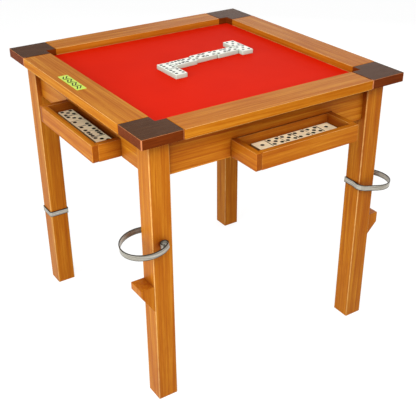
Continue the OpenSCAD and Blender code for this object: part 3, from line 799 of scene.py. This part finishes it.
class TABLE_OT_frame_wood(bpy.types.Operator):
    """Varnish the rails, aprons, legs and brackets, and ease their edges"""
    bl_idname = "table.frame_wood"
    bl_label = "Varnish the frame"

    def execute(self, context):
        radius = context.scene.table_wood.edge_round
        for side in SIDES:
            axis = side_axis(side)
            ease_edges(dress("rail_" + side, "Varnished wood along " + axis), radius, clamped=False)
            ease_edges(dress("apron_" + side, "Figured wood along " + axis), radius)
        for corner in CORNERS:
            ease_edges(dress("leg_" + corner, "Leg wood"), radius)
        for corner in CLIP_CORNERS:
            ease_edges(dress("glass_bracket_" + corner, "Bracket wood"), radius)
        return {"FINISHED"}


class TABLE_OT_corner_blocks(bpy.types.Operator):
    """Stain the corner blocks dark, with worn edges"""
    bl_idname = "table.corner_blocks"
    bl_label = "Stain the corner blocks"

    def execute(self, context):
        radius = context.scene.table_blocks.edge_round
        for corner in CORNERS:
            ease_edges(dress("corner_block_" + corner, "Dark corner block"), radius, clamped=False)
        return {"FINISHED"}


class TABLE_OT_drawers(bpy.types.Operator):
    """Varnish the four drawers, each board with its own grain direction"""
    bl_idname = "table.drawers"
    bl_label = "Varnish the drawers"

    def execute(self, context):
        radius = context.scene.table_wood.edge_round
        for side in SIDES:
            along, across = side_axis(side), side_axis(side, crosswise=True)
            for part, axis in (("face", along), ("sides", across), ("back_and_stop", along)):
                ease_edges(dress(f"{side}_drawer_{part}", "Drawer wood along " + axis), radius)
            dress(side + "_drawer_bottom", "Drawer wood along " + along)
        return {"FINISHED"}


class TABLE_OT_inner_parts(bpy.types.Operator):
    """Finish the bare wood, dowels and screws under the top"""
    bl_idname = "table.inner_parts"
    bl_label = "Finish the inner parts"

    def execute(self, context):
        for side in SIDES:
            dress("drawer_guides_" + side, "Bare wood along " + side_axis(side, crosswise=True))
        for node, axis in (("board_bearers_across", "x"), ("board_bearers_along", "y"),
                           ("playing_board", "x"), ("corner_braces", "z"), ("frame_dowels", "x"),
                           ("leg_top_dowels", "z"), ("bracket_dowels", "x")):
            dress(node, "Bare wood along " + axis)
        dress("brace_screws", "Zinc plated screw")
        return {"FINISHED"}


class TABLE_OT_playing_field(bpy.types.Operator):
    """Lay the red sheet and put a plain pattern on the plate"""
    bl_idname = "table.playing_field"
    bl_label = "Finish the playing field"

    def execute(self, context):
        dress("red_playing_sheet", "Red playing sheet")
        dress("name_plate", "Yellow plate")
        low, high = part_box("name_plate")
        middle = Matrix.Translation(((low.x + high.x) / 2, (low.y + high.y) / 2, high.z))
        half_x, half_y = (high.x - low.x) / 2, (high.y - low.y) / 2
        stroke = context.scene.table_field.pattern_stroke

        def pattern(work):
            zigzag_into(work, half_x, half_y, stroke, middle)

        made = mesh_object("plate_pattern", pattern, ["Plate pattern"])
        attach(made, "table")
        return {"FINISHED"}


class TABLE_OT_tiles(bpy.types.Operator):
    """Make the domino tiles with hollow pips and a cut dividing line"""
    bl_idname = "table.tiles"
    bl_label = "Make the tiles"

    def execute(self, context):
        rightward = Vector((1, 0, 0))
        hands = {"front": ((1, 5), (5, 4), (5, 1)), "right": ((2, 3), (6, 0), (4, 2)),
                 "back": ((3, 3), (0, 1), (6, 2)), "left": ((5, 3), (2, 4), (6, 3))}
        for quarter, side in enumerate(SIDES):
            along = Matrix.Rotation(quarter * math.pi / 2, 3, "Z") @ rightward
            domino_tiles(side + "_hand_tiles", side + "_drawer_tiles", side + "_drawer", along,
                         hands[side], "Cream tile", mark=1.2)
        played = ((6, 6), (6, 5), (5, 4), (4, 5), (5, 5))
        domino_tiles("line_tiles", "played_tiles", "table", rightward,
                     played, "White tile", mark=1.15)
        return {"FINISHED"}


class TABLE_OT_steel(bpy.types.Operator):
    """Brush the glass clips and the band, and round the strip's edges"""
    bl_idname = "table.steel"
    bl_label = "Finish the steel"

    def execute(self, context):
        settings = context.scene.table_steel
        level_within = 0.001
        for node in ["glass_clip_" + corner for corner in CLIP_CORNERS] + ["leg_band_back_left"]:
            corners = [vertex.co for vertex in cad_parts[node].data.vertices]
            top, foot = max(corners, key=lambda c: c.z), min(corners, key=lambda c: c.z)
            climb = top.z - foot.z - settings.strip
            slope = climb / (top.x - foot.x) if climb > level_within else 0.0
            finish = "Spring steel of " + node
            spring_steel(finish, slope, top.z - settings.strip / 2 - slope * top.x)
            ease_edges(dress(node, finish), settings.edge_round)
        return {"FINISHED"}


# Half the floor's side, and how far it lies under the feet
FLOOR_REACH = 6.0
FLOOR_DROP = 0.0005

# The camera sees this share of the floor as a glow of this strength, which whitens it round the shadow
FLOOR_GLOW_SHARE = 0.5
FLOOR_GLOW = 1.70

WHITE = (1.0, 1.0, 1.0, 1.0)


def pale_floor(stage):
    """A floor that is near white to the camera and keeps the table's shadow."""
    tree, surface = new_material("Pale floor")
    nodes = {node.type: node for node in tree.tree.nodes}
    surface["Base Color"].default_value = (*stage.floor, 1.0)
    surface["Roughness"].default_value = 0.9
    surface["Specular IOR Level"].default_value = 0.1
    seen = tree.add("ShaderNodeLightPath").outputs
    seen_floor = tree.maths("MAXIMUM", seen["Is Camera Ray"], seen["Is Glossy Ray"])
    share = tree.maths("MULTIPLY", seen_floor, FLOOR_GLOW_SHARE)
    glow = tree.add("ShaderNodeEmission", {"Color": WHITE, "Strength": FLOOR_GLOW})
    mixed = tree.add("ShaderNodeMixShader", {0: share, 1: nodes["BSDF_PRINCIPLED"].outputs[0],
                                             2: glow.outputs[0]})
    tree.link(mixed.outputs[0], nodes["OUTPUT_MATERIAL"].inputs["Surface"])

    def sheet(work):
        verts = [work.verts.new((x * FLOOR_REACH, y * FLOOR_REACH, -FLOOR_DROP))
                 for x, y in ((-1, -1), (1, -1), (1, 1), (-1, 1))]
        work.faces.new(verts)

    mesh_object("floor", sheet, ["Pale floor"])


def soft_studio(stage):
    """White behind the table, and an even light from all round it."""
    world = bpy.data.worlds.new("Soft studio")
    bpy.context.scene.world = world
    world.use_nodes = True
    world.node_tree.nodes.clear()
    tree = Tree(world.node_tree)
    seen = tree.add("ShaderNodeLightPath").outputs
    shown = tree.maths("MAXIMUM", seen["Is Camera Ray"], seen["Is Glossy Ray"])
    shown = tree.maths("MAXIMUM", shown, seen["Is Transmission Ray"])
    strength = tree.spread(shown, 0.0, 1.0, stage.sky, 1.0)
    background = tree.add("ShaderNodeBackground", {"Color": WHITE, "Strength": strength})
    tree.add("ShaderNodeOutputWorld", {"Surface": background.outputs[0]})


def lamp(name, place, aim_height, size, power):
    """A square soft lamp that faces a point over the middle of the floor."""
    light = bpy.data.lights.new(name, "AREA")
    light.shape = "SQUARE"
    light.size = size
    light.energy = power
    made = bpy.data.objects.new(name, light)
    made.location = place
    view = Vector((0, 0, aim_height)) - Vector(place)
    made.rotation_euler = view.to_track_quat("-Z", "Y").to_euler()
    bpy.context.scene.collection.objects.link(made)
    return light


def stand_camera(stage):
    """The camera that sees the table as the photograph does."""
    data = bpy.data.cameras.new("Camera")
    data.sensor_width = 36.0
    data.lens = stage.focal
    camera = bpy.data.objects.new("Camera", data)
    camera.matrix_world = (Matrix.Translation(stage.camera_place)
                           @ Matrix.Rotation(-stage.camera_yaw, 4, "Z")
                           @ Matrix.Rotation(math.pi / 2 - stage.camera_pitch, 4, "X")
                           @ Matrix.Rotation(stage.camera_roll, 4, "Z"))
    bpy.context.scene.collection.objects.link(camera)
    bpy.context.scene.camera = camera


class TABLE_OT_stage(bpy.types.Operator):
    """Set the floor, the soft light and the camera"""
    bl_idname = "table.stage"
    bl_label = "Set the stage"

    def execute(self, context):
        stage = context.scene.table_stage
        pale_floor(stage)
        soft_studio(stage)
        key = lamp("Key lamp", stage.key_place, aim_height=0.45, size=1.8, power=stage.key)
        key.color = stage.key_tint
        lamp("Fill lamp", stage.fill_place, aim_height=0.5, size=2.0, power=stage.fill)
        lamp("Back lamp", stage.back_place, aim_height=0.4, size=1.8, power=stage.back)
        stand_camera(stage)
        context.scene.view_settings.view_transform = "Standard"
        return {"FINISHED"}


STEPS = (TABLE_OT_finishes, TABLE_OT_frame_wood, TABLE_OT_corner_blocks, TABLE_OT_drawers,
         TABLE_OT_inner_parts, TABLE_OT_playing_field, TABLE_OT_tiles, TABLE_OT_steel, TABLE_OT_stage)
GROUPS = {"table_wood": WoodSettings, "table_blocks": BlockSettings, "table_field": FieldSettings,
          "table_tiles": TileSettings, "table_steel": SteelSettings, "table_stage": StageSettings}


class TABLE_PT_panel(bpy.types.Panel):
    """Sizes and colours of the domino table, and the steps that dress it"""
    bl_idname = "TABLE_PT_panel"
    bl_label = "Domino table"
    bl_space_type = "VIEW_3D"
    bl_region_type = "UI"
    bl_category = "Domino table"

    def draw(self, context):
        for name, group in GROUPS.items():
            column = self.layout.column(align=True)
            settings = getattr(context.scene, name)
            for key in group.__annotations__:
                column.prop(settings, key)
        for step in STEPS:
            self.layout.operator(step.bl_idname)


def register():
    for group in GROUPS.values():
        bpy.utils.register_class(group)
    for name, group in GROUPS.items():
        setattr(bpy.types.Scene, name, PointerProperty(type=group))
    for step in STEPS:
        bpy.utils.register_class(step)
    bpy.utils.register_class(TABLE_PT_panel)


def unregister():
    bpy.utils.unregister_class(TABLE_PT_panel)
    for step in reversed(STEPS):
        bpy.utils.unregister_class(step)
    for name in GROUPS:
        delattr(bpy.types.Scene, name)
    for group in GROUPS.values():
        bpy.utils.unregister_class(group)


def main():
    register()
    for step in STEPS:
        area, name = step.bl_idname.split(".")
        getattr(getattr(bpy.ops, area), name)()
    bpy.context.view_layer.update()


if __name__ == "__main__":
    main()
